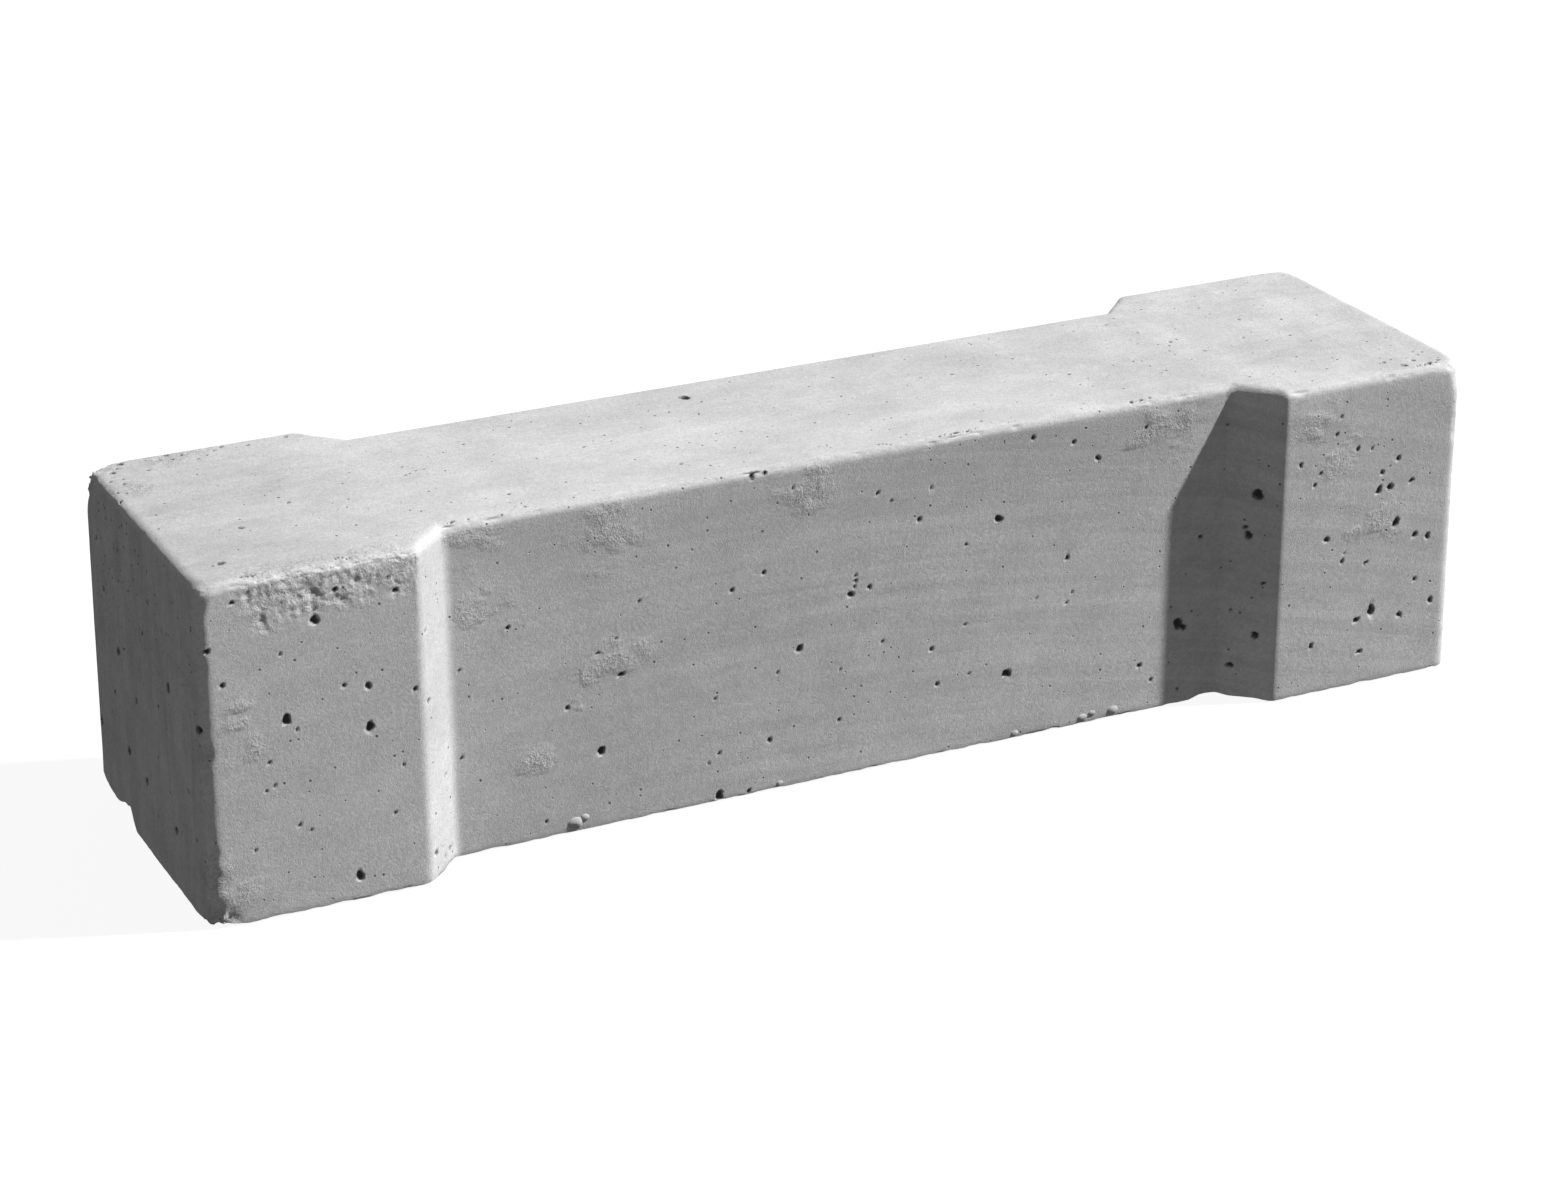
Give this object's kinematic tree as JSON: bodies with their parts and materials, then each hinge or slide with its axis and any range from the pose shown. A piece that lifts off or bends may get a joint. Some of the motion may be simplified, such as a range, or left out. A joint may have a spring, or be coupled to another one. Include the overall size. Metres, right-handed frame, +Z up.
{
  "type": "concrete barrier block",
  "caption": "Low precast concrete barrier block with full-width ends and a narrower waist, cast around a steel bar cage, for closing off or dividing traffic lanes.",
  "frame": {"origin": "centre of the block's base", "axes": "+X along the block towards its right end, -Y is the front long side, +Z up"},
  "size_m": [1, 0.25, 0.25],
  "materials": {
    "concrete": "matt cast concrete with small air holes",
    "bar_steel": "rolled steel with light rust",
    "tie_wire": "black annealed",
    "spacer_plastic": "moulded"
  },
  "bodies": {
    "root": {"concrete_body": "concrete", "main_bar_top_front": "bar_steel", "main_bar_top_back": "bar_steel", "main_bar_bottom_front": "bar_steel", "main_bar_bottom_back": "bar_steel", "link_1": "bar_steel", "link_2": "bar_steel", "link_3": "bar_steel", "link_4": "bar_steel", "link_5": "bar_steel", "link_6": "bar_steel", "link_7": "bar_steel", "hairpin_top_left": "bar_steel", "hairpin_top_right": "bar_steel", "hairpin_bottom_left": "bar_steel", "hairpin_bottom_right": "bar_steel", "link_ties": "tie_wire", "hairpin_ties": "tie_wire", "spacer_front_left": "spacer_plastic", "spacer_back_left": "spacer_plastic", "spacer_top_left": "spacer_plastic", "spacer_front_right": "spacer_plastic", "spacer_back_right": "spacer_plastic", "spacer_top_right": "spacer_plastic"}
  },
  "joints": []
}
